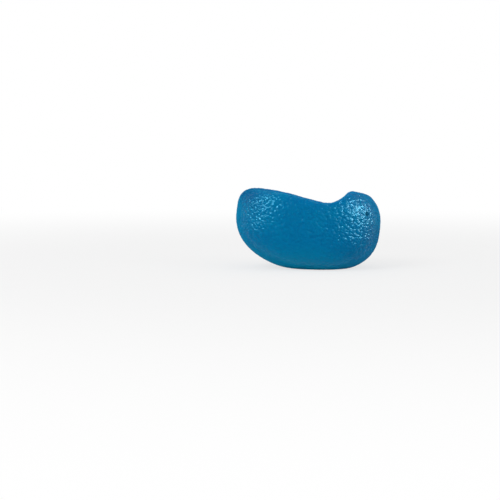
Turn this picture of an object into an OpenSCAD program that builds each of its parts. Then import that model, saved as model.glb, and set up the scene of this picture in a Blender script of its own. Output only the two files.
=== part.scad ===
// Hand grip strengthener: a one-piece gel egg that is squeezed in the hand.
//
// The egg is one solid casting with no separate piece. It is lofted from
// sections across its length, then swollen, leaned and scooped by the hand
// that holds it: three fingers on top, the thumb underneath.
//
// Millimetres, +Z up, +X towards the blunt end that carries the gate mark,
// +Y away from the index finger. The origin is under the middle of the egg,
// on the flat that it rests on.

/* [Relaxed egg] */

// Length from tip to tip when nothing presses it
egg_length = 60; // [48:1:72]
// Greatest diameter when nothing presses it
egg_diameter = 45; // [38:1:55]
// How much fuller the gate end is than the other
blunt_bias = 0.08; // [0:0.01:0.15]
// Depth that the egg settles into a table under its own weight
settle_depth = 0.5; // [0.3:0.1:1]

/* [Squeeze] */

// 0 is the relaxed egg, 1 is the egg held firmly in the hand
squeeze = 1; // [0:0.05:1]
// Growth of the length, as a share of it
length_gain = 0.067; // [0:0.001:0.12]
// Growth of the width, as a share of it
width_gain = 0.03; // [0:0.005:0.08]
// Loss of the height before the fingers sink in, as a share of it
height_loss = 0.052; // [0:0.001:0.12]
// Fullness of the pressed sections, where 2 is a plain oval
pressed_fullness = 2.8; // [2:0.05:3]
// Fullness of the gate end while pressed
pressed_bias = 0.005; // [0:0.005:0.1]
// Slimming of both ends while pressed
pressed_taper = 0.12; // [0:0.01:0.2]
// Lean of the long axis, gate end down, in degrees
lean = 6.5; // [0:0.1:10]
// Rise of the slim end where the palm lifts it
end_rise = 2.3; // [0:0.1:3]
// Depth of the flat that the thumb presses underneath
thumb_depth = 1.25; // [0.5:0.05:3]

/* [Finger scoops] */

// Distance from one finger's line to the next
finger_pitch = 15.5; // [12:0.5:18]
// Where the index finger lies, from the middle of the egg
index_offset = -12; // [-15:0.5:-9]
// Depth of the index finger before its bend, below the crown
index_depth = 6.3; // [3:0.1:10]
// Depth of the middle finger before its bend, below the crown
middle_depth = 8.8; // [4:0.1:12]
// Depth of the ring finger before its bend, below the crown
ring_depth = 11.2; // [5:0.1:14]
// Where the index finger bends down into the gel
index_bend = -19; // [-24:0.5:-8]
// Where the middle finger bends down into the gel
middle_bend = -11.5; // [-22:0.5:-5]
// Where the ring finger bends down into the gel
ring_bend = -10.5; // [-22:0.5:-5]
// Softness of a finger's bend
bend_blend = 8; // [2:0.5:12]
// Fall of the index finger from its bend to its tip, per millimetre
index_fall = 0.36; // [0:0.01:0.5]
// Fall of the middle finger from its bend to its tip, per millimetre
middle_fall = 0.26; // [0:0.01:0.4]
// Fall of the ring finger from its bend to its tip, per millimetre
ring_fall = 0.26; // [0:0.01:0.4]
// Height of the gel that rises on both sides of the index finger
index_bank = 2.4; // [0.5:0.1:4]
// Height of the gel that rises on both sides of the middle finger
middle_bank = 2.2; // [0.5:0.1:4]
// Height of the gel that rises on both sides of the ring finger
ring_bank = 2.1; // [0.5:0.1:4]
// Where the index fingertip starts to curve up out of the gel
index_tip = 3; // [0:0.5:16]
// Where the middle fingertip starts to curve up out of the gel
middle_tip = 14; // [8:0.5:28]
// Where the ring fingertip starts to curve up out of the gel
ring_tip = 15; // [0:0.5:20]
// Radius of the fingertips' underside
fingertip_radius = 8; // [5:0.5:12]
// Softness of the lip between a scoop and the side
lip_blend = 4.5; // [0.5:0.1:6]
// Softness of the ridge between two scoops
ridge_blend = 2.5; // [0.5:0.1:5]

/* [Gate mark] */

// Direction of the gate mark round the egg, from the gate end, in degrees
gate_azimuth = -45; // [-60:1:60]
// Direction of the gate mark above the middle of the egg, in degrees
gate_elevation = 19; // [-40:1:40]
// Radius of the tool that leaves the mark
gate_tool_radius = 1.6; // [1:0.1:3]
// Depth of the mark in the skin
gate_depth = 0.5; // [0.2:0.1:1]

/* [Smoothness] */

// Sections along the egg
section_count = 60; // [30:2:64]
// Points round each section
section_points = 72; // [40:4:80]

/* [Hidden] */

gel_colour = [0.05, 0.42, 0.62];

// Between a relaxed value and a squeezed one.
function mix(relaxed, pressed) = relaxed + (pressed - relaxed) * squeeze;

body_length = mix(egg_length, egg_length * (1 + length_gain));
body_width = mix(egg_diameter, egg_diameter * (1 + width_gain));
body_height = mix(egg_diameter, egg_diameter * (1 - height_loss));
fullness = mix(2, pressed_fullness);
end_bias = mix(blunt_bias, pressed_bias);
end_taper = mix(0, pressed_taper);
lean_angle = mix(0, lean);
slim_end_rise = mix(0, end_rise);
base_depth = mix(settle_depth, thumb_depth);
body_middle = body_height / 2 - base_depth;
crown = body_middle + body_height / 2;

// The gel flattens a little lower than the cut, so the cut's rim stays soft.
base_level = -0.3;
base_blend = 1.2;
least_blend = 0.01;

// A finger: [offset across, height before its bend, bend, fall, bank, start of its tip]
fingers = [
    [index_offset, crown - mix(0, index_depth), index_bend, mix(0, index_fall),
        index_bank, index_tip],
    [index_offset + finger_pitch, crown - mix(0, middle_depth), middle_bend,
        mix(0, middle_fall), middle_bank, middle_tip],
    [index_offset + 2 * finger_pitch, crown - mix(0, ring_depth), ring_bend,
        mix(0, ring_fall), ring_bank, ring_tip]
];

// The lower and the higher of two heights, with a blend that is k wide.
function overlap(a, b, k) = pow(max(k - abs(a - b), 0), 2) / (4 * k);
function smooth_min(a, b, k) = min(a, b) - overlap(a, b, k);
function smooth_max(a, b, k) = max(a, b) + overlap(a, b, k);

// A direction on the unit sphere, pushed out to the full section.
function power_length(u) =
    pow(pow(abs(u.x), fullness) + pow(abs(u.y), fullness) + pow(abs(u.z), fullness),
        1 / fullness);
function swollen(u) = u / power_length(u);

// The swollen egg, before the lean and the fingers.
function section_scale(along) = 1 + end_bias * along - end_taper * along * along;
function upright_point(n) = [
    n.x * body_length / 2,
    n.y * body_width / 2 * section_scale(n.x),
    n.z * body_height / 2 * section_scale(n.x) + slim_end_rise * pow(min(n.x, 0), 2)
];
function leaned(q) = [
    q.x * cos(lean_angle) + q.z * sin(lean_angle),
    q.y,
    body_middle - q.x * sin(lean_angle) + q.z * cos(lean_angle)
];

// The underside of one finger over a place on the gel.
function fingertip_rise(x, tip) = pow(max(x - tip, 0), 2) / (2 * fingertip_radius);
function finger_height(q, f) =
    f[1] - f[3] * smooth_max(q.x - f[2], 0, bend_blend)
    + f[4] * pow((q.y - f[0]) / (finger_pitch / 2), 2)
    + fingertip_rise(q.x, f[5]);
function hand_height(q) =
    smooth_min(
        smooth_min(finger_height(q, fingers[0]), finger_height(q, fingers[1]), ridge_blend),
        finger_height(q, fingers[2]), ridge_blend);

// The gel's skin: under the fingers on top, and flattened below.
lip = max(mix(0, lip_blend), least_blend);
function skin_height(q) =
    smooth_max(smooth_min(q.z, hand_height(q), lip), base_level, base_blend);
function skin(q) = [q.x, q.y, skin_height(q)];
function skin_point(u) = skin(leaned(upright_point(swollen(u))));

// Directions of the sections, from the slim tip to the gate tip.
function direction(along, around) = [
    -cos(along),
    sin(along) * cos(around),
    sin(along) * sin(around)
];
along_step = 180 / section_count;
around_step = 360 / section_points;
loft_points = concat(
    [skin_point([-1, 0, 0])],
    [for (i = [1:section_count - 1]) for (j = [0:section_points - 1])
        skin_point(direction(i * along_step, j * around_step))],
    [skin_point([1, 0, 0])]
);
last_point = len(loft_points) - 1;

// The middle of the loft goes over the origin.
loft_x = [for (q = loft_points) q.x];
loft_y = [for (q = loft_points) q.y];
loft_middle = [(min(loft_x) + max(loft_x)) / 2, (min(loft_y) + max(loft_y)) / 2, 0];

// Triangles: a fan at each tip and two to each cell between the sections. A cell
// is split along its higher diagonal, so that the split follows the scoops' lips.
function ring_point(i, j) = 1 + (i - 1) * section_points + j % section_points;
function split_cell(a, b, c, d) =
    loft_points[a].z + loft_points[c].z > loft_points[b].z + loft_points[d].z
        ? [[a, b, c], [a, c, d]]
        : [[a, b, d], [b, c, d]];
loft_faces = concat(
    [for (j = [0:section_points - 1]) [0, ring_point(1, j), ring_point(1, j + 1)]],
    [for (i = [1:section_count - 2]) for (j = [0:section_points - 1])
        each split_cell(ring_point(i, j), ring_point(i + 1, j), ring_point(i + 1, j + 1),
            ring_point(i, j + 1))],
    [for (j = [0:section_points - 1])
        [last_point, ring_point(section_count - 1, j + 1), ring_point(section_count - 1, j)]]
);

// The gate mark's place on the skin and the way the skin faces there.
function gate_direction(azimuth, elevation) = [
    cos(elevation) * cos(azimuth),
    cos(elevation) * sin(azimuth),
    sin(elevation)
];
probe = 2;
gate_point = skin_point(gate_direction(gate_azimuth, gate_elevation)) - loft_middle;
gate_beside = skin_point(gate_direction(gate_azimuth + probe, gate_elevation)) - loft_middle;
gate_above = skin_point(gate_direction(gate_azimuth, gate_elevation + probe)) - loft_middle;
gate_cross = cross(gate_beside - gate_point, gate_above - gate_point);
gate_normal = gate_cross / norm(gate_cross);

// The lofted gel, before the flat and the gate mark.
module gel_form() {
    translate(-loft_middle)
        polyhedron(points = loft_points, faces = loft_faces, convexity = 6);
}

// Everything below the table.
module table_cut() {
    cut_size = 2 * (body_length + body_width);
    translate([-cut_size / 2, -cut_size / 2, -cut_size])
        cube([cut_size, cut_size, cut_size]);
}

// The shallow round pit that the moulding gate leaves.
module gate_pit() {
    translate(gate_point + (gate_tool_radius - gate_depth) * gate_normal)
        sphere(r = gate_tool_radius, $fn = 48);
}

// The whole egg: one piece of gel.
module squeeze_egg() {
    color(gel_colour)
        difference() {
            gel_form();
            table_cut();
            gate_pit();
        }
}

squeeze_egg();
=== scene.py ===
"""A gel squeeze egg in its held form, with a pebbled skin, on a plain pale floor.

The egg is one casting of soft blue gel. Its form repeats the construction's own
formulas, in metres: a swollen egg that leans, with three finger scoops on top and a
flat underneath. The fine grain, the gate mark and the finish are made here.
"""

import logging
import math
from dataclasses import dataclass
from enum import Enum

import bmesh
import bpy
from mathutils import Matrix, Quaternion, Vector, noise


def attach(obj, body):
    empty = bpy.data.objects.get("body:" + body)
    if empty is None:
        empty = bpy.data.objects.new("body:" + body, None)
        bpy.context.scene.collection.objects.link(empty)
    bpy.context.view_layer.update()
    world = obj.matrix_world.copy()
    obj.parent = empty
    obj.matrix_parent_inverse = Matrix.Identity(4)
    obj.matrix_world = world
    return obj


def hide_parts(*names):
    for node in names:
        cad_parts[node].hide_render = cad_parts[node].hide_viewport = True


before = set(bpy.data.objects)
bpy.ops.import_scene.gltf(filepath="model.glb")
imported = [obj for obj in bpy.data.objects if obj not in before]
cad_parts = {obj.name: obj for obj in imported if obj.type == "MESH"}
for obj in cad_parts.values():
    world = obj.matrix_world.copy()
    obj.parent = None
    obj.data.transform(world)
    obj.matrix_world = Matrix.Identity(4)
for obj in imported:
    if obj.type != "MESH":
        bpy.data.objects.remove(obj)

LOG = logging.getLogger("squeeze_egg")
MM = 0.001
Colour = tuple[float, float, float, float]
WHITE: Colour = (1.0, 1.0, 1.0, 1.0)


class Finger(Enum):
    """The fingers that leave a scoop on top of the egg, from the near side."""

    INDEX = 0
    MIDDLE = 1
    RING = 2


@dataclass(frozen=True)
class Scoop:
    """What one finger presses into the gel, in metres.

    Attributes:
        finger: Which finger it is.
        depth: How far it sinks below the crown before its bend.
        bend: Where it bends down into the gel.
        fall: How much it drops from its bend to its tip, per metre.
        bank: How high the gel rises on both sides of it.
        tip: Where the fingertip starts to curve up out of the gel.
    """

    finger: Finger
    depth: float
    bend: float
    fall: float
    bank: float
    tip: float


@dataclass(frozen=True)
class HeldForm:
    """The form of the egg in the hand, in metres and degrees.

    Attributes:
        relaxed_length: Length from tip to tip when nothing presses the egg.
        diameter: Greatest diameter when nothing presses the egg.
        blunt_bias: How much fuller the gate end is than the other, relaxed.
        length_gain: Growth of the length in the hand, as a share of it.
        width_gain: Growth of the width, as a share of it.
        height_loss: Loss of height before the fingers sink in, as a share of it.
        fullness: Power of the swollen sections, where 2 is a plain oval.
        bias: How much fuller the gate end is in the hand.
        taper: Slimming of both ends in the hand.
        lean: Lean of the long axis, gate end down, in degrees.
        end_rise: Rise of the slim end where the palm lifts it.
        thumb_depth: Depth of the flat underneath.
        base_level: Height at which the gel starts to flatten.
        base_blend: Width of the blend into the flat.
        pitch: Distance from one finger's line to the next.
        index_offset: Where the index finger lies, from the middle.
        bend_blend: Softness of a finger's bend.
        fingertip_radius: Radius of the fingertips' underside.
        lip_blend: Softness of the lip between a scoop and the side.
        ridge_blend: Softness of the ridge between two scoops.
    """

    relaxed_length: float = 60 * MM
    diameter: float = 45 * MM
    blunt_bias: float = 0.08
    length_gain: float = 0.067
    width_gain: float = 0.03
    height_loss: float = 0.052
    fullness: float = 2.8
    bias: float = 0.005
    taper: float = 0.12
    lean: float = 6.5
    end_rise: float = 2.3 * MM
    thumb_depth: float = 1.25 * MM
    base_level: float = -0.3 * MM
    base_blend: float = 1.2 * MM
    pitch: float = 15.5 * MM
    index_offset: float = -12 * MM
    bend_blend: float = 8 * MM
    fingertip_radius: float = 8 * MM
    lip_blend: float = 4.5 * MM
    ridge_blend: float = 2.5 * MM
    scoops: tuple[Scoop, ...] = (
        Scoop(Finger.INDEX, 6.3 * MM, -19 * MM, 0.36, 2.4 * MM, 3 * MM),
        Scoop(Finger.MIDDLE, 8.8 * MM, -11.5 * MM, 0.26, 2.2 * MM, 14 * MM),
        Scoop(Finger.RING, 11.2 * MM, -10.5 * MM, 0.26, 2.1 * MM, 15 * MM),
    )

    @property
    def length(self) -> float:
        """Length in the hand."""
        return self.relaxed_length * (1 + self.length_gain)

    @property
    def width(self) -> float:
        """Width in the hand."""
        return self.diameter * (1 + self.width_gain)

    @property
    def height(self) -> float:
        """Height in the hand, before the fingers sink in."""
        return self.diameter * (1 - self.height_loss)

    @property
    def middle(self) -> float:
        """Height of the egg's middle over the floor."""
        return self.height / 2 - self.thumb_depth

    @property
    def crown(self) -> float:
        """Height of the egg's top before the fingers sink in."""
        return self.middle + self.height / 2

    def relaxed_place(self, direction: Vector) -> Vector:
        """Finds where a direction meets the relaxed egg.

        Args:
            direction: A unit vector from the egg's middle.

        Returns:
            The place on the relaxed egg, about its middle.
        """
        scale = 1 + self.blunt_bias * direction.x
        return Vector((
            direction.x * self.relaxed_length / 2,
            direction.y * self.diameter / 2 * scale,
            direction.z * self.diameter / 2 * scale,
        ))

    def held_place(self, direction: Vector) -> Vector:
        """Finds where a direction meets the egg in the hand.

        Args:
            direction: A unit vector from the egg's middle.

        Returns:
            The place on the skin, over the floor at height 0.
        """
        reach = sum(abs(part) ** self.fullness for part in direction) ** (1 / self.fullness)
        along, across, up = direction / reach
        scale = 1 + self.bias * along - self.taper * along * along
        x = along * self.length / 2
        y = across * self.width / 2 * scale
        z = up * self.height / 2 * scale + self.end_rise * min(along, 0) ** 2
        turn = math.radians(self.lean)
        leaned_x = x * math.cos(turn) + z * math.sin(turn)
        leaned_z = self.middle - x * math.sin(turn) + z * math.cos(turn)
        under_hand = smooth_min(leaned_z, self.hand_height(leaned_x, y), self.lip_blend)
        on_thumb = smooth_max(under_hand, self.base_level, self.base_blend)
        return Vector((leaned_x, y, max(on_thumb, 0.0)))

    def hand_height(self, x: float, y: float) -> float:
        """Gives the height of the fingers' underside over a place.

        Args:
            x: Place along the egg.
            y: Place across the egg.

        Returns:
            The height, with soft ridges between the fingers.
        """
        index, middle, ring = (self.finger_height(scoop, x, y) for scoop in self.scoops)
        return smooth_min(smooth_min(index, middle, self.ridge_blend), ring, self.ridge_blend)

    def finger_height(self, scoop: Scoop, x: float, y: float) -> float:
        """Gives the height of one finger's underside over a place.

        Args:
            scoop: The finger's scoop.
            x: Place along the egg.
            y: Place across the egg.

        Returns:
            The height of that finger's underside.
        """
        offset = self.index_offset + scoop.finger.value * self.pitch
        bank = scoop.bank * ((y - offset) / (self.pitch / 2)) ** 2
        fall = scoop.fall * smooth_max(x - scoop.bend, 0.0, self.bend_blend)
        tip_rise = max(x - scoop.tip, 0.0) ** 2 / (2 * self.fingertip_radius)
        return self.crown - scoop.depth - fall + bank + tip_rise


def overlap(a: float, b: float, width: float) -> float:
    """Gives how much a soft blend of two heights moves where they meet.

    Args:
        a: One height.
        b: The other height.
        width: Width of the blend.

    Returns:
        The shift, 0 where the heights are further apart than the width.
    """
    return max(width - abs(a - b), 0.0) ** 2 / (4 * width)


def smooth_min(a: float, b: float, width: float) -> float:
    """Gives the lower of two heights, with a soft blend."""
    return min(a, b) - overlap(a, b, width)


def smooth_max(a: float, b: float, width: float) -> float:
    """Gives the higher of two heights, with a soft blend."""
    return max(a, b) + overlap(a, b, width)


@dataclass(frozen=True)
class GateMark:
    """The pit where the gel entered its mould, in metres and degrees.

    Attributes:
        azimuth: Direction round the egg, from the gate end.
        elevation: Direction above the egg's middle.
        tool_radius: Radius of the round bottom of the pit.
        depth: Depth of the pit in the skin.
        rim_height: Height of the soft rim round it.
        rim_width: How far the rim reaches from the pit's edge.
        calm_widths: How many rim widths the skin stays calm past the pit's edge.
        pit_shade_reach: How far the pit's painted shade and dull gloss reach, as a share of its
            radius.
        pit_shade_fade: How far in from there it is whole, as a share of its radius.
        probe: Degrees to the places beside the mark that show how the skin slopes.
    """

    azimuth: float = -45.0
    elevation: float = 19.0
    tool_radius: float = 1.6 * MM
    depth: float = 0.5 * MM
    rim_height: float = 0.05 * MM
    rim_width: float = 0.5 * MM
    calm_widths: float = 2.0
    pit_shade_reach: float = 1.2
    pit_shade_fade: float = 0.5
    probe: float = 2.0

    @property
    def mouth_radius(self) -> float:
        """Radius of the pit at the skin."""
        return math.sqrt(self.tool_radius ** 2 - (self.tool_radius - self.depth) ** 2)

    @property
    def reach(self) -> float:
        """How far from its middle the mark changes the skin."""
        return self.mouth_radius + self.calm_widths * self.rim_width

    @property
    def direction(self) -> Vector:
        """Unit vector from the egg's middle to the mark."""
        return self.turned(0.0, 0.0)

    def turned(self, more_azimuth: float, more_elevation: float) -> Vector:
        """Gives a direction beside the mark.

        Args:
            more_azimuth: Degrees round the egg from the mark.
            more_elevation: Degrees above the mark.

        Returns:
            The unit vector.
        """
        around = math.radians(self.azimuth + more_azimuth)
        above = math.radians(self.elevation + more_elevation)
        return Vector((
            math.cos(above) * math.cos(around),
            math.cos(above) * math.sin(around),
            math.sin(above),
        ))

    def shift(self, distance: float) -> float:
        """Gives how far the skin moves outwards at a distance from the mark's middle.

        Args:
            distance: Distance in the skin's plane.

        Returns:
            The outward shift, negative inside the pit.
        """
        if distance < self.mouth_radius:
            return self.tool_radius - self.depth - math.sqrt(self.tool_radius ** 2 - distance ** 2)
        beyond = (distance - self.mouth_radius) / self.rim_width
        return self.rim_height * math.exp(-beyond * beyond)

    def hollow(self, distance: float) -> float:
        """Gives how far a place lies inside the pit.

        Args:
            distance: Distance in the skin's plane.

        Returns:
            1 in most of the pit, falling to 0 just outside it.
        """
        inside = self.pit_shade_reach - distance / self.mouth_radius
        return min(max(inside / self.pit_shade_fade, 0.0), 1.0)

    def smoothness(self, distance: float) -> float:
        """Gives how much the mark wipes out the skin's grain.

        Args:
            distance: Distance in the skin's plane.

        Returns:
            1 in the pit, falling to 0 at the mark's reach.
        """
        beyond = (distance - self.mouth_radius) / self.rim_width
        return min(max(1.0 - beyond / self.calm_widths, 0.0), 1.0)


@dataclass(frozen=True)
class PebbledSkin:
    """The moulded grain of the skin, in metres on the relaxed egg.

    Attributes:
        pitch: Distance from one pebble to the next.
        height: How far the creases lie below the pebbles' tops.
        crease: Reach of a crease's flank, as a share of the pitch.
        crown: How much a pebble falls away from its middle, as a share of its height.
        wander: How far the pebbles' outlines wander.
        wander_size: Distance over which they wander.
        seed: Seed of the wander, so that each run gives the same skin.
        faint: Share of the grain that is left underneath.
        faint_below: Height below the egg's middle at which only that share is left.
        whole_above: Height below the egg's middle at which the grain is whole.
    """

    pitch: float = 1.4 * MM
    height: float = 0.14 * MM
    crease: float = 0.30
    crown: float = 1.6
    wander: float = 0.8 * MM
    wander_size: float = 4.0 * MM
    seed: int = 3
    faint: float = 0.3
    faint_below: float = -18 * MM
    whole_above: float = -7 * MM

    def relief(self, place: Vector) -> float:
        """Gives the pebbles' height at a place.

        Args:
            place: A place on the relaxed egg.

        Returns:
            The height, 0 at the bottom of a crease and about 1 on top of a pebble.
        """
        moved = place + noise.noise_vector(place / self.wander_size) * self.wander
        middle, neighbour = noise.voronoi(moved / self.pitch)[0][:2]
        flank = min((neighbour - middle) / self.crease, 1.0)
        return (1 - (1 - flank) ** 2) * (1 - self.crown * middle * middle)

    def strength(self, place: Vector) -> float:
        """Gives the strength of the grain at a place.

        Args:
            place: A place on the relaxed egg.

        Returns:
            1 over most of the egg, and less underneath.
        """
        rise = (place.z - self.faint_below) / (self.whole_above - self.faint_below)
        return self.faint + (1 - self.faint) * min(max(rise, 0.0), 1.0)


class Layer(Enum):
    """What each point of the egg's mesh carries for the finish."""

    RELAXED_PLACE = "relaxed_place"
    PEBBLE = "pebble"
    GRAIN = "grain"
    GATE_PIT = "gate_pit"


@dataclass(frozen=True)
class Fade:
    """A soft step from one number to another.

    Attributes:
        begin: Where the step starts, which may lie above its end.
        end: Where the step ends.
        before: The number before the step.
        after: The number after the step.
    """

    begin: float
    end: float
    before: float = 0.0
    after: float = 1.0


@dataclass(frozen=True)
class Zone:
    """A part of the relaxed egg with a soft border, in metres from the egg's middle.

    Attributes:
        along: The fade along the egg, where the slim end is negative.
        up: The fade over the egg's height.
    """

    along: Fade
    up: Fade


class Recipe:
    """Builds the nodes of one material or world."""

    def __init__(self, tree: bpy.types.NodeTree) -> None:
        """Empties a node tree and keeps it.

        Args:
            tree: The node tree to fill.
        """
        self.tree = tree
        self.tree.nodes.clear()

    def node(self, kind: str, settings: dict | None = None, **sockets: object) -> bpy.types.Node:
        """Adds a node.

        Args:
            kind: The node's type.
            settings: Properties to set on the node.
            **sockets: Input names, with _ for a space, and the value or the output socket
                that each one takes.

        Returns:
            The new node.
        """
        made = self.tree.nodes.new(kind)
        for name, value in (settings or {}).items():
            setattr(made, name, value)
        for name, value in sockets.items():
            self.feed(made.inputs[name.replace("_", " ")], value)
        return made

    def feed(self, socket: bpy.types.NodeSocket, value: object) -> None:
        """Links an output to an input, or sets the input's value.

        Args:
            socket: The input.
            value: An output socket or a plain value.
        """
        if isinstance(value, bpy.types.NodeSocket):
            self.tree.links.new(value, socket)
        else:
            socket.default_value = value

    def layer(self, layer: Layer, output: str = "Fac") -> bpy.types.NodeSocket:
        """Adds a reading of what the mesh's points carry.

        Args:
            layer: What is read.
            output: The reading's output, Fac for a number and Vector for a place.

        Returns:
            The result's socket.
        """
        return self.node("ShaderNodeAttribute", {"attribute_name": layer.value}).outputs[output]

    def math(self, operation: str, first: object, second: object = 0.0) -> bpy.types.NodeSocket:
        """Adds a sum, product or other operation on two numbers.

        Args:
            operation: The operation's name.
            first: The first number or socket.
            second: The second number or socket.

        Returns:
            The result's socket.
        """
        made = self.node("ShaderNodeMath", {"operation": operation})
        self.feed(made.inputs[0], first)
        self.feed(made.inputs[1], second)
        return made.outputs[0]

    def product(self, first: object, second: object) -> bpy.types.NodeSocket:
        """Adds the product of two numbers."""
        return self.math("MULTIPLY", first, second)

    def fade(self, value: object, fade: Fade) -> bpy.types.NodeSocket:
        """Adds a soft step from one number to another.

        Args:
            value: What drives the step.
            fade: The step.

        Returns:
            The result's socket.
        """
        made = self.node("ShaderNodeMapRange", {"interpolation_type": "SMOOTHSTEP"})
        for place, number in enumerate((value, fade.begin, fade.end, fade.before, fade.after)):
            self.feed(made.inputs[place], number)
        return made.outputs[0]

    def zone(self, along: object, up: object, zone: Zone) -> bpy.types.NodeSocket:
        """Adds the share that a zone has at a place.

        Args:
            along: The place's distance along the egg.
            up: The place's height.
            zone: The zone.

        Returns:
            The share's socket, 0 outside the zone.
        """
        return self.product(self.fade(along, zone.along), self.fade(up, zone.up))

    def blend(self, share: object, first: object, second: object) -> bpy.types.NodeSocket:
        """Adds a blend of two colours.

        Args:
            share: How much of the second colour is taken.
            first: The first colour or socket.
            second: The second colour or socket.

        Returns:
            The result's socket.
        """
        made = self.node("ShaderNodeMix", {"data_type": "RGBA"})
        self.feed(made.inputs[0], share)
        self.feed(made.inputs[6], first)
        self.feed(made.inputs[7], second)
        return made.outputs[2]


@dataclass(frozen=True)
class GelColour:
    """The gel's colour over the relaxed egg. Colours are linear and lengths in metres.

    Attributes:
        deep: Colour where the gel is thick.
        high: Painted shade at the top, a deeper blue than the thick gel.
        corner: Painted shadow on the top of the slim end.
        low: Painted light at the bottom, a lighter teal than the thick gel.
        thin: Painted light that comes through the slim end, and the lighter tone of the clouds.
        shade: Colour low on the ends, most of all on the gate end, and in the creases.
        end_shade: Colour of the gate end's own tip, below its middle.
        pit: Painted shade in the gate mark's hollow.
        top: The height over which the thick gel's colour turns into the top's painted shade.
        bottom: The height over which it turns into the bottom's painted light.
        corner_zone: The top of the slim end, where the shadow is painted.
        lit_zone: The slim end that light comes through. Its height counts both ways from
            lit_height.
        lit_height: Height of that light's middle.
        lit_share: Share of the thin colour in that light.
        low_ends: The lower part of the ends. Its length counts both ways from the middle.
        low_side: Strength of their shade, from the slim end's side to the gate end's.
        tip_zone: The gate end's own tip.
        cloud: How the noise of the clouds turns into a share of the thin colour.
        cloud_count: Number of clouds to the metre.
        cloud_layers: Layers of noise in a cloud.
        crease_shade: Share of the shade in a crease, by the height on a pebble.
    """

    deep: Colour = (0.0, 0.182, 0.400, 1.0)
    high: Colour = (0.0, 0.150, 0.400, 1.0)
    corner: Colour = (0.0, 0.104, 0.280, 1.0)
    low: Colour = (0.0, 0.300, 0.500, 1.0)
    thin: Colour = (0.0, 0.230, 0.430, 1.0)
    shade: Colour = (0.0, 0.125, 0.310, 1.0)
    end_shade: Colour = (0.0, 0.060, 0.180, 1.0)
    pit: Colour = (0.0, 0.110, 0.240, 1.0)
    top: Fade = Fade(4 * MM, 22 * MM)
    bottom: Fade = Fade(-6 * MM, -22 * MM)
    corner_zone: Zone = Zone(Fade(-12 * MM, -26 * MM), Fade(-2 * MM, 10 * MM))
    lit_zone: Zone = Zone(Fade(-6 * MM, -29 * MM), Fade(14 * MM, 3 * MM))
    lit_height: float = -5 * MM
    lit_share: float = 0.5
    low_ends: Zone = Zone(Fade(4 * MM, 26 * MM), Fade(6 * MM, -14 * MM))
    low_side: Fade = Fade(-10 * MM, 10 * MM, 0.4, 0.7)
    tip_zone: Zone = Zone(Fade(19 * MM, 30 * MM), Fade(10 * MM, -3 * MM, 0.0, 0.6))
    cloud: Fade = Fade(0.42, 0.72, 0.0, 0.35)
    cloud_count: float = 90.0
    cloud_layers: float = 3.0
    crease_shade: Fade = Fade(0.0, 0.5, 0.15, 0.0)

    def build(self, recipe: Recipe) -> bpy.types.NodeSocket:
        """Makes the colour, from the thick gel to its lit and its shaded parts.

        Args:
            recipe: The material's recipe.

        Returns:
            The colour's socket.
        """
        place = recipe.layer(Layer.RELAXED_PLACE, "Vector")
        apart = recipe.node("ShaderNodeSeparateXYZ", Vector=place)
        along, up = apart.outputs[0], apart.outputs[2]
        off_middle = recipe.math("ABSOLUTE", along)
        off_light = recipe.math("ABSOLUTE", recipe.math("SUBTRACT", up, self.lit_height))
        light = recipe.product(recipe.zone(along, off_light, self.lit_zone), self.lit_share)
        low_shade = recipe.product(recipe.zone(off_middle, up, self.low_ends),
                                   recipe.fade(along, self.low_side))
        cloud = recipe.node("ShaderNodeTexNoise", Vector=place, Scale=self.cloud_count,
                            Detail=self.cloud_layers).outputs["Fac"]
        crease = recipe.fade(recipe.layer(Layer.PEBBLE), self.crease_shade)
        # Painted shade towards the top, as a deeper blue.
        upper = recipe.blend(recipe.fade(up, self.top), self.deep, self.high)
        # Painted light towards the bottom, as a lighter teal.
        body = recipe.blend(recipe.fade(up, self.bottom), upper, self.low)
        # Painted shadow on the top of the slim end.
        cornered = recipe.blend(recipe.zone(along, up, self.corner_zone), body, self.corner)
        # Painted light where light comes through the slim end.
        lit = recipe.blend(light, cornered, self.thin)
        shaded = recipe.blend(low_shade, lit, self.shade)
        tipped = recipe.blend(recipe.zone(along, up, self.tip_zone), shaded, self.end_shade)
        clouded = recipe.blend(recipe.fade(cloud, self.cloud), tipped, self.thin)
        creased = recipe.blend(crease, clouded, self.shade)
        # Painted shade in the gate mark's hollow.
        return recipe.blend(recipe.layer(Layer.GATE_PIT), creased, self.pit)


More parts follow.
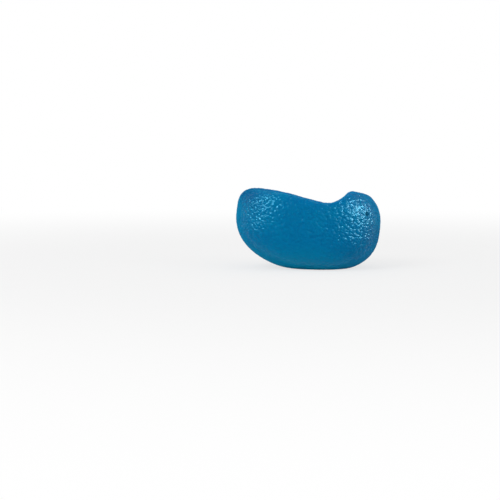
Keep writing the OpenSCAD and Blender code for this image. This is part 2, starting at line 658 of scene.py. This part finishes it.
@dataclass(frozen=True)
class GelSurface:
    """The skin's gloss, and its relief that is finer than the mesh, in metres.

    Attributes:
        gloss: Roughness on a pebble's top.
        crease_gloss: Roughness in the creases.
        gloss_height: Height on a pebble from which its roughness is the top's.
        edge_gloss: Roughness in the gate mark and where the pebbles are seen edge-on and
            hide their own shine.
        edge_band: Where that starts and ends, from 0, head-on, to 1, edge-on.
        bead_pitch: Distance from one bead to the next on the pebbles.
        bead_height: Height of a bead, as the depth of a cell one pitch wide.
        tooth_pitch: Size of the finest grain.
        tooth_height: Height of the finest grain.
        tooth_layers: Layers of noise in the finest grain.
    """

    gloss: float = 0.18
    crease_gloss: float = 0.28
    gloss_height: float = 0.7
    edge_gloss: float = 1.0
    edge_band: Fade = Fade(0.34, 0.62)
    bead_pitch: float = 1.3 * MM
    bead_height: float = 0.28 * MM
    tooth_pitch: float = 0.25 * MM
    tooth_height: float = 0.010 * MM
    tooth_layers: float = 2.0

    def roughness(self, recipe: Recipe) -> bpy.types.NodeSocket:
        """Makes the gloss: bright tops, duller creases, matt in the pit and edge-on.

        Args:
            recipe: The material's recipe.

        Returns:
            The roughness.
        """
        up_pebble = Fade(0.0, self.gloss_height, self.crease_gloss, self.gloss)
        head_on = recipe.fade(recipe.layer(Layer.PEBBLE), up_pebble)
        facing = recipe.node("ShaderNodeLayerWeight", Blend=0.5).outputs["Facing"]
        dull = recipe.math("MAXIMUM", recipe.fade(facing, self.edge_band),
                           recipe.layer(Layer.GATE_PIT))
        matt = recipe.product(recipe.math("SUBTRACT", self.edge_gloss, head_on), dull)
        return recipe.math("ADD", head_on, matt)

    def normal(self, recipe: Recipe) -> bpy.types.NodeSocket:
        """Makes the finest relief: small beads with a tooth on them.

        Args:
            recipe: The material's recipe.

        Returns:
            The normal.
        """
        place = recipe.layer(Layer.RELAXED_PLACE, "Vector")
        cell = recipe.node("ShaderNodeTexVoronoi", Vector=place, Scale=1 / self.bead_pitch)
        fall = recipe.product(cell.outputs["Distance"], cell.outputs["Distance"])
        beads = recipe.node("ShaderNodeBump", {"invert": True}, Strength=recipe.layer(Layer.GRAIN),
                            Distance=self.bead_height, Height=fall)
        tooth = recipe.node("ShaderNodeTexNoise", Vector=place, Scale=1 / self.tooth_pitch,
                            Detail=self.tooth_layers)
        return recipe.node("ShaderNodeBump", Distance=self.tooth_height,
                           Height=tooth.outputs["Fac"], Normal=beads.outputs[0]).outputs[0]


@dataclass(frozen=True)
class GelFinish:
    """Soft blue gel with a glossy pebbled skin.

    Attributes:
        colour: The gel's colour.
        surface: The skin's gloss and finest relief.
        refraction: Index of refraction of the gel.
        scatter_share: Share of the light that travels in the gel.
        scatter_reach: How far that light travels, in metres.
        scatter_colours: Share of that reach for red, green and blue light.
        shine: Strength of the skin's reflection.
        shine_tint: Colour of the skin's reflection.
    """

    colour: GelColour = GelColour()
    surface: GelSurface = GelSurface()
    refraction: float = 1.45
    scatter_share: float = 0.5
    scatter_reach: float = 5.0 * MM
    scatter_colours: tuple[float, float, float] = (0.3, 0.9, 1.0)
    shine: float = 0.16
    shine_tint: Colour = (0.14, 0.75, 1.0, 1.0)

    def build(self) -> bpy.types.Material:
        """Makes the gel's material.

        Returns:
            The material.
        """
        material = bpy.data.materials.new("blue_gel")
        material.use_nodes = True
        recipe = Recipe(material.node_tree)
        gel = recipe.node(
            "ShaderNodeBsdfPrincipled",
            {"subsurface_method": "RANDOM_WALK"},
            Base_Color=self.colour.build(recipe),
            Roughness=self.surface.roughness(recipe),
            IOR=self.refraction,
            Subsurface_Weight=self.scatter_share,
            Subsurface_Radius=self.scatter_colours,
            Subsurface_Scale=self.scatter_reach,
            Specular_IOR_Level=self.shine,
            Specular_Tint=self.shine_tint,
            Normal=self.surface.normal(recipe),
        )
        recipe.node("ShaderNodeOutputMaterial", Surface=gel.outputs[0])
        return material


@dataclass
class SqueezeEgg:
    """The one casting of gel: its form, its grain and its finish.

    Attributes:
        form: The form in the hand.
        gate: The mark where the gel entered the mould.
        skin: The grain of the skin.
        finish: The gel's finish.
        cuts_along: Cuts along the egg in the cube that the ball starts from.
        cuts_round: Cuts round the egg in that cube.
        gate_reach: How far round the gate mark the mesh is finer.
        gate_cuts: Cuts that make it finer there.
        lump_size: Size of the soft unevenness of the skin.
        lump_height: Height of that unevenness.
        lump_fade: Height over the floor at which it is whole.
    """

    form: HeldForm = HeldForm()
    gate: GateMark = GateMark()
    skin: PebbledSkin = PebbledSkin()
    finish: GelFinish = GelFinish()
    cuts_along: int = 146
    cuts_round: int = 112
    gate_reach: float = 0.12
    gate_cuts: int = 3
    lump_size: float = 9 * MM
    lump_height: float = 0.12 * MM
    lump_fade: float = 2 * MM

    def build(self) -> bpy.types.Object:
        """Makes the egg's mesh and gives it its finish.

        Returns:
            The egg.
        """
        name = "squeeze_egg_skin"
        ball = self.ball()
        self.grain(ball, self.press(ball))
        mesh = bpy.data.meshes.new(name)
        ball.to_mesh(mesh)
        ball.free()
        mesh.shade_smooth()
        egg = bpy.data.objects.new(name, mesh)
        bpy.context.scene.collection.objects.link(egg)
        egg.data.materials.append(self.finish.build())
        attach(egg, "root")
        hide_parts("squeeze_egg")
        return egg

    def ball(self) -> bmesh.types.BMesh:
        """Makes a ball of even quads, finer round the gate mark.

        Returns:
            The ball, with a radius of 1.
        """
        side = 2.0
        ball = bmesh.new()
        bmesh.ops.create_cube(ball, size=side)
        for axis, cuts in enumerate((self.cuts_along, self.cuts_round, self.cuts_round)):
            whole = [edge for edge in ball.edges
                     if abs(edge.verts[0].co[axis] - edge.verts[1].co[axis]) > side / 2]
            bmesh.ops.subdivide_edges(ball, edges=whole, cuts=cuts, use_grid_fill=True)
        for vertex in ball.verts:
            even = Vector(math.tan(part * math.pi / 4) for part in vertex.co)
            vertex.co = even.normalized()
        near = [edge for edge in ball.edges
                if all((end.co - self.gate.direction).length < self.gate_reach
                       for end in edge.verts)]
        bmesh.ops.subdivide_edges(ball, edges=near, cuts=self.gate_cuts, use_grid_fill=True)
        for vertex in ball.verts:
            vertex.co.normalize()
        return ball

    def press(self, ball: bmesh.types.BMesh) -> Vector:
        """Presses the ball into the held egg and notes each place on the relaxed one.

        Args:
            ball: The ball, with a radius of 1.

        Returns:
            The form's middle, which goes over the origin.
        """
        relaxed = ball.verts.layers.float_vector.new(Layer.RELAXED_PLACE.value)
        for vertex in ball.verts:
            direction = vertex.co.copy()
            vertex[relaxed] = self.form.relaxed_place(direction)
            vertex.co = self.form.held_place(direction)
        xs = [vertex.co.x for vertex in ball.verts]
        centre = Vector(((min(xs) + max(xs)) / 2, 0.0, 0.0))
        bmesh.ops.translate(ball, verts=ball.verts[:], vec=-centre)
        bmesh.ops.recalc_face_normals(ball, faces=ball.faces[:])
        return centre

    def grain(self, egg: bmesh.types.BMesh, centre: Vector) -> None:
        """Gives the skin its soft lumps, its pebbles and the gate mark.

        Args:
            egg: The pressed egg.
            centre: The form's middle.
        """
        noise.seed_set(self.skin.seed)
        relaxed = egg.verts.layers.float_vector[Layer.RELAXED_PLACE.value]
        pebble = egg.verts.layers.float.new(Layer.PEBBLE.value)
        grain = egg.verts.layers.float.new(Layer.GRAIN.value)
        pit = egg.verts.layers.float.new(Layer.GATE_PIT.value)
        mark = self.form.held_place(self.gate.direction) - centre
        facing = self.gate_facing()
        egg.normal_update()
        outward = {vertex: vertex.normal.copy() for vertex in egg.verts}
        for vertex, normal in outward.items():
            offset = vertex.co - mark
            beside = (offset - facing * offset.dot(facing)).length
            smooth = self.gate.smoothness(beside) if offset.length < self.gate.reach else 0.0
            height = self.skin.relief(vertex[relaxed])
            lump = noise.noise(vertex.co / self.lump_size) * self.lump_height
            vertex[pebble] = height
            vertex[grain] = self.skin.strength(vertex[relaxed]) * (1 - smooth)
            vertex.co += normal * (lump * min(vertex.co.z / self.lump_fade, 1.0)
                                   - (1 - height) * self.skin.height * vertex[grain])
            if smooth > 0:
                vertex[pit] = self.gate.hollow(beside)
                vertex.co += facing * self.gate.shift(beside)

    def gate_facing(self) -> Vector:
        """Finds the way that the skin faces at the gate mark.

        Returns:
            The unit normal.
        """
        mark = self.form.held_place(self.gate.direction)
        beside = self.form.held_place(self.gate.turned(self.gate.probe, 0.0))
        above = self.form.held_place(self.gate.turned(0.0, self.gate.probe))
        return (beside - mark).cross(above - mark).normalized()


class Task(Enum):
    """What a lamp gives the egg."""

    LIGHT = "light"
    SHINE = "shine"


@dataclass(frozen=True)
class Softbox:
    """A studio lamp with a rectangular face.

    Attributes:
        name: The lamp's name.
        task: Whether it lights the egg or shows as shine on its skin.
        towards: Direction from the egg to the lamp.
        distance: Distance from the egg.
        width: Width of its face.
        height: Height of its face.
        radiance: Brightness of its face, where a white wall is 1.
        roll: Turn of its face about the line to the egg, in degrees.
    """

    name: str
    task: Task
    towards: tuple[float, float, float]
    distance: float
    width: float
    height: float
    radiance: float
    roll: float = 0.0

    def build(self, target: Vector) -> bpy.types.Object:
        """Places the lamp so that it faces the egg.

        Args:
            target: What the lamp faces.

        Returns:
            The lamp.
        """
        lamp = bpy.data.lights.new(self.name, "AREA")
        lamp.shape = "RECTANGLE"
        lamp.size = self.width
        lamp.size_y = self.height
        lamp.energy = self.radiance * math.pi * self.width * self.height
        holder = bpy.data.objects.new(self.name, lamp)
        holder.location = target + Vector(self.towards).normalized() * self.distance
        facing = (holder.location - target).to_track_quat("Z", "Y")
        rolled = facing @ Quaternion((0.0, 0.0, 1.0), math.radians(self.roll))
        holder.rotation_euler = rolled.to_euler()
        holder.visible_camera = False
        holder.visible_diffuse = self.task is Task.LIGHT
        holder.visible_glossy = self.task is Task.SHINE
        bpy.context.scene.collection.objects.link(holder)
        return holder


@dataclass
class Studio:
    """The pale floor, the white backdrop, the lamps and the camera.

    Attributes:
        target_height: Height of the egg's middle, which the camera and the lamps face.
        elevation: The camera's height over the egg, in degrees.
        camera_distance: Distance of the camera from the egg.
        frame_width: Width of the view at the egg.
        aim_right: How far right of the view's middle the egg stands.
        aim_up: How far above the view's middle the egg stands.
        sensor_width: Width of the camera's sensor, in millimetres.
        sight: How far the camera sees.
        sky_light: Brightness of the backdrop's own light on the egg.
        floor_radius: Radius of the floor.
        floor_sides: Sides of its outline.
        floor_gap: How far it lies below the egg.
        floor_colour: Colour of the floor.
        near_glow: Share of the floor's white that no shadow darkens, at the egg.
        near_reach: Distance from the egg at which that share starts to grow.
        far_reach: Distance from the egg at which it is whole.
    """

    target_height: float = 18 * MM
    elevation: float = 5.0
    camera_distance: float = 0.70
    frame_width: float = 0.222
    aim_right: float = 25.79 * MM
    aim_up: float = 10.35 * MM
    sensor_width: float = 36.0
    sight: float = 50.0
    sky_light: float = 0.60
    floor_radius: float = 6.0
    floor_sides: int = 96
    floor_gap: float = 0.05 * MM
    floor_colour: Colour = (0.80, 0.80, 0.80, 1.0)
    near_glow: float = 0.72
    near_reach: float = 0.10
    far_reach: float = 0.45

    @property
    def target(self) -> Vector:
        """What the camera and the lamps face."""
        return Vector((0.0, 0.0, self.target_height))

    def build(self) -> None:
        """Builds the floor, the backdrop, the lamps and the camera."""
        self.floor()
        self.backdrop()
        for softbox in self.softboxes():
            softbox.build(self.target)
            LOG.info("lamp %s", softbox.name)
        self.camera()

    def softboxes(self) -> list[Softbox]:
        """Lists the lamps.

        Returns:
            The lamps, with the brightest first.
        """
        return [
            Softbox("left_shine", Task.SHINE, (-0.75, -0.54, 0.38), 0.60, 0.36, 0.05, 135.0, 32.0),
            Softbox("right_shine", Task.SHINE, (0.87, -0.40, 0.30), 0.60, 0.46, 0.30, 43.0),
            Softbox("left_key", Task.LIGHT, (-0.60, -0.60, 0.60), 0.90, 0.45, 0.45, 4.0),
            Softbox("right_key", Task.LIGHT, (0.75, -0.50, 0.40), 0.90, 0.35, 0.35, 2.0),
        ]

    def camera(self) -> None:
        """Places the camera, which looks along +Y and a little down."""
        tilt = math.radians(self.elevation)
        back = Vector((0.0, -math.cos(tilt), math.sin(tilt)))
        up = Vector((0.0, math.sin(tilt), math.cos(tilt)))
        lens = bpy.data.cameras.new("camera")
        lens.sensor_width = self.sensor_width
        lens.lens = self.sensor_width * self.camera_distance / self.frame_width
        lens.clip_end = self.sight
        camera = bpy.data.objects.new("camera", lens)
        camera.location = (self.target + back * self.camera_distance
                           - Vector((self.aim_right, 0.0, 0.0)) - up * self.aim_up)
        camera.rotation_euler = (math.radians(90.0 - self.elevation), 0.0, 0.0)
        bpy.context.scene.collection.objects.link(camera)
        bpy.context.scene.camera = camera

    def floor(self) -> None:
        """Makes the pale floor, white to the camera, with the egg's shadow on it."""
        disc = bmesh.new()
        bmesh.ops.create_circle(disc, cap_ends=True, segments=self.floor_sides,
                                radius=self.floor_radius,
                                matrix=Matrix.Translation((0.0, 0.0, -self.floor_gap)))
        mesh = bpy.data.meshes.new("floor")
        disc.to_mesh(mesh)
        disc.free()
        floor = bpy.data.objects.new("floor", mesh)
        bpy.context.scene.collection.objects.link(floor)
        floor.data.materials.append(self.floor_finish())

    def floor_finish(self) -> bpy.types.Material:
        """Makes the floor's matt white.

        Returns:
            The material.
        """
        material = bpy.data.materials.new("pale_floor")
        material.use_nodes = True
        recipe = Recipe(material.node_tree)
        matt = recipe.node("ShaderNodeBsdfDiffuse", Color=self.floor_colour)
        glow = recipe.node("ShaderNodeEmission", Color=WHITE, Strength=1.0)
        place = recipe.node("ShaderNodeTexCoord").outputs["Object"]
        distance = recipe.node("ShaderNodeVectorMath", {"operation": "LENGTH"}, Vector=place)
        outwards = Fade(self.near_reach, self.far_reach, self.near_glow, 1.0)
        glowing = recipe.fade(distance.outputs["Value"], outwards)
        share = recipe.product(self.sees_backdrop(recipe), glowing)
        both = recipe.node("ShaderNodeMixShader", Fac=share)
        recipe.feed(both.inputs[1], matt.outputs[0])
        recipe.feed(both.inputs[2], glow.outputs[0])
        recipe.node("ShaderNodeOutputMaterial", Surface=both.outputs[0])
        return material

    def backdrop(self) -> None:
        """Makes the white backdrop and its soft light."""
        world = bpy.data.worlds.new("backdrop")
        world.use_nodes = True
        bpy.context.scene.world = world
        recipe = Recipe(world.node_tree)
        soft = recipe.node("ShaderNodeBackground", Color=WHITE, Strength=self.sky_light)
        white = recipe.node("ShaderNodeBackground", Color=WHITE, Strength=1.0)
        both = recipe.node("ShaderNodeMixShader", Fac=self.sees_backdrop(recipe))
        recipe.feed(both.inputs[1], soft.outputs[0])
        recipe.feed(both.inputs[2], white.outputs[0])
        recipe.node("ShaderNodeOutputWorld", Surface=both.outputs[0])

    def sees_backdrop(self, recipe: Recipe) -> bpy.types.NodeSocket:
        """Tells the rays that see the backdrop as white from those that carry light.

        Args:
            recipe: The recipe that asks.

        Returns:
            A socket that is 1 for camera, glossy and transmission rays.
        """
        path = recipe.node("ShaderNodeLightPath")
        mirrored = recipe.math("MAXIMUM", path.outputs["Is Camera Ray"],
                               path.outputs["Is Glossy Ray"])
        return recipe.math("MAXIMUM", mirrored, path.outputs["Is Transmission Ray"])


def main() -> None:
    """Builds the egg and the studio round it, and reports each piece."""
    logging.basicConfig(level=logging.INFO, format="%(name)s: %(message)s")
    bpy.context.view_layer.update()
    scene = bpy.context.scene
    scene.view_settings.view_transform = "Standard"
    egg = SqueezeEgg().build()
    LOG.info("piece %s with %d faces", egg.name, len(egg.data.polygons))
    Studio().build()


if __name__ == "__main__":
    main()
